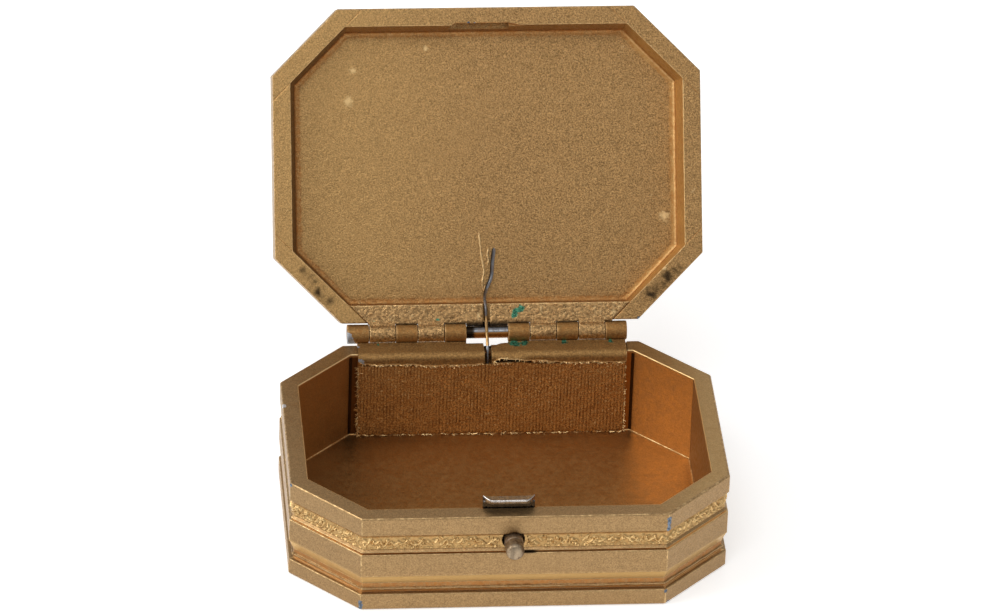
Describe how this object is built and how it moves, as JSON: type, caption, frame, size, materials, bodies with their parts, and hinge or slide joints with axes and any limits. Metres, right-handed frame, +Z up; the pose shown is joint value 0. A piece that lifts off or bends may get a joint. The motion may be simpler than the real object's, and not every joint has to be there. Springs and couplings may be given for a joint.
{
  "type": "hinged rosin box",
  "caption": "Eight-sided hinged metal box for a cake of rosin, standing open: moulded sides, lid with raised corner plates round a sunk oval, push-button catch and wire lid spring.",
  "frame": {"origin": "middle of the case's flat underside", "axes": "+Z up, +X to the right, -Y towards the push button, +Y towards the hinge"},
  "size_m": [0.06, 0.0758, 0.0549],
  "materials": {
    "gilt_metal": "satin bronze-gold paint over cast metal, worn on the edges",
    "hinge_brass": "dull gold-painted brass with green corrosion in places",
    "steel": "darkened steel, bright on worn edges",
    "ribbed_cloth": "ribbed strip painted gold-brown"
  },
  "bodies": {
    "case": {"case_frame": "gilt_metal", "case_floor": "gilt_metal", "hinge_leaf_case_left": "hinge_brass", "hinge_leaf_case_right": "hinge_brass", "hinge_pin": "steel", "back_lining": "ribbed_cloth", "catch_rivets": "steel", "lid_spring": "steel"},
    "lid": {"lid_panel": "gilt_metal", "lid_medallion": "gilt_metal", "lid_rim_front": "gilt_metal", "lid_rim_rear": "gilt_metal", "lid_rim_left": "gilt_metal", "lid_rim_right": "gilt_metal", "lid_corner_front_left": "gilt_metal", "lid_corner_front_right": "gilt_metal", "lid_corner_back_left": "gilt_metal", "lid_corner_back_right": "gilt_metal", "lid_plate_front_left": "gilt_metal", "lid_plate_front_right": "gilt_metal", "lid_plate_back_left": "gilt_metal", "lid_plate_back_right": "gilt_metal", "hinge_leaf_lid_left": "hinge_brass", "hinge_leaf_lid_right": "hinge_brass"},
    "catch": {"catch_leaf": "steel", "push_button": "steel"}
  },
  "joints": [
    {"name": "lid_hinge", "type": "hinge", "parent": "case", "child": "lid", "pos_m": [0, 0.02345, 0.0156], "axis": [1, 0, 0], "range_deg": [0, 121], "stiffness_Nm_per_rad": 0.006, "deforming": ["lid_spring"]},
    {"name": "catch_flex", "type": "hinge", "parent": "case", "child": "catch", "pos_m": [0, -0.01935, 0.0032], "axis": [-1, 0, 0], "range_deg": [0, 4.5], "stiffness_Nm_per_rad": 0.3, "springref_deg": -1.15}
  ]
}
